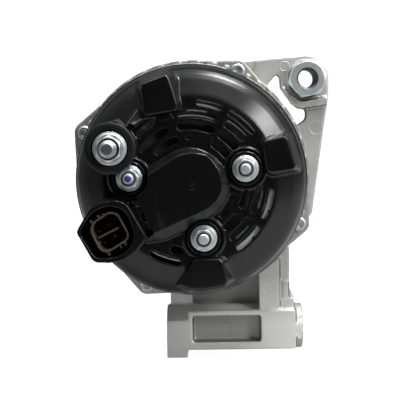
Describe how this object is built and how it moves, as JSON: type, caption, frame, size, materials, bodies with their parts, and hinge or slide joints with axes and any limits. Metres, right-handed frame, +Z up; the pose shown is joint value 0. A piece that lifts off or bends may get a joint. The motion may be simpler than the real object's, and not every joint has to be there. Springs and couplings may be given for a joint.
{
  "type": "car alternator",
  "caption": "Belt-driven car alternator: two cast end frames on a stator, black vented rear cover with plug hood and output stud, grooved pulley, lower boss and upper ear.",
  "frame": {"origin": "centre of the rotor shaft's flat outer end, beyond the pulley nut, on the shaft's axis; the lower boss's bolt hole is 93 mm behind it", "axes": "+Y along the shaft towards the pulley, +Z up, +X to the right when the rear cover is faced; the lower boss's bolt hole runs along X"},
  "size_m": [0.1512, 0.175, 0.179],
  "materials": {
    "cast_aluminium": "as-cast, fine-grained, satin",
    "black_plastic": "moulded, satin to semi-gloss black",
    "brown_plastic": "moulded, brown-grey",
    "insulator": "dark insulating moulding",
    "zinc": "bright zinc plate with a faint blue cast",
    "steel": "machined steel",
    "lamination": "stacked electrical steel",
    "copper": "enamelled copper wire, varnished",
    "plate_metal": "bare stamped aluminium",
    "contact_gold": "plated contact metal",
    "carbon": "pressed carbon",
    "painted_pulley": "black phosphate over machined steel"
  },
  "bodies": {
    "housing": {"drive_end_frame": "cast_aluminium", "rear_frame": "cast_aluminium", "rear_cover": "black_plastic", "stator_core": "lamination", "stator_winding": "copper", "positive_heat_sink": "plate_metal", "negative_heat_sink": "plate_metal", "rectifier_terminal_block": "black_plastic", "b_plus_stud": "zinc", "b_plus_nut": "zinc", "b_plus_insulator": "insulator", "voltage_regulator": "black_plastic", "plug_receptacle": "brown_plastic", "brush_holder": "black_plastic", "ear_bush": "zinc", "front_bearing_outer_race": "steel", "rear_bearing_outer_race": "steel", "bearing_retainer_plate": "steel", "positive_diode_1": "plate_metal", "negative_diode_1": "plate_metal", "cover_stud_1": "zinc", "cover_nut_1": "zinc", "retainer_screw_1": "zinc", "positive_diode_2": "plate_metal", "negative_diode_2": "plate_metal", "cover_stud_2": "zinc", "cover_nut_2": "zinc", "retainer_screw_2": "zinc", "positive_diode_3": "plate_metal", "negative_diode_3": "plate_metal", "cover_stud_3": "zinc", "cover_nut_3": "zinc", "retainer_screw_3": "zinc", "plug_pin_1": "contact_gold", "through_bolt_1": "zinc", "plug_pin_2": "contact_gold", "through_bolt_2": "zinc", "plug_pin_3": "contact_gold", "through_bolt_3": "zinc", "plug_pin_4": "contact_gold", "through_bolt_4": "zinc", "brush_spring_1": "steel", "brush_spring_2": "steel"},
    "rotor": {"shaft": "steel", "front_claw_pole": "steel", "rear_claw_pole": "steel", "field_coil": "copper", "front_fan": "steel", "rear_fan": "steel", "slip_ring_inner": "copper", "slip_ring_outer": "copper", "slip_ring_insulator": "insulator", "front_bearing_inner_race": "steel", "rear_bearing_inner_race": "steel", "pulley": "painted_pulley", "pulley_nut": "zinc"},
    "brush_1_body": {"brush_1": "carbon"},
    "brush_2_body": {"brush_2": "carbon"},
    "front_cage_body": {"front_bearing_cage": "steel"},
    "rear_cage_body": {"rear_bearing_cage": "steel"}
  },
  "joints": [
    {"name": "rotor_spin", "type": "hinge", "parent": "housing", "child": "rotor", "pos_m": [0, -0.093, 0], "axis": [0, 1, 0], "continuous": true},
    {"name": "front_cage_spin", "type": "hinge", "parent": "housing", "child": "front_cage_body", "pos_m": [0, -0.046, 0], "axis": [0, 1, 0], "continuous": true},
    {"name": "rear_cage_spin", "type": "hinge", "parent": "housing", "child": "rear_cage_body", "pos_m": [0, -0.1255, 0], "axis": [0, 1, 0], "continuous": true},
    {"name": "brush_1_slide", "type": "slide", "parent": "housing", "child": "brush_1_body", "axis": [-0.8616, 0, -0.5075], "range_m": [0, 0.004], "stiffness_N_per_m": 300, "deforming": ["brush_spring_1"]},
    {"name": "brush_2_slide", "type": "slide", "parent": "housing", "child": "brush_2_body", "axis": [-0.8616, 0, -0.5075], "range_m": [0, 0.004], "stiffness_N_per_m": 300, "deforming": ["brush_spring_2"]}
  ],
  "couplings": [
    {"joint": "front_cage_spin", "follows": "rotor_spin", "ratio": 0.372},
    {"joint": "rear_cage_spin", "follows": "rotor_spin", "ratio": 0.384}
  ]
}
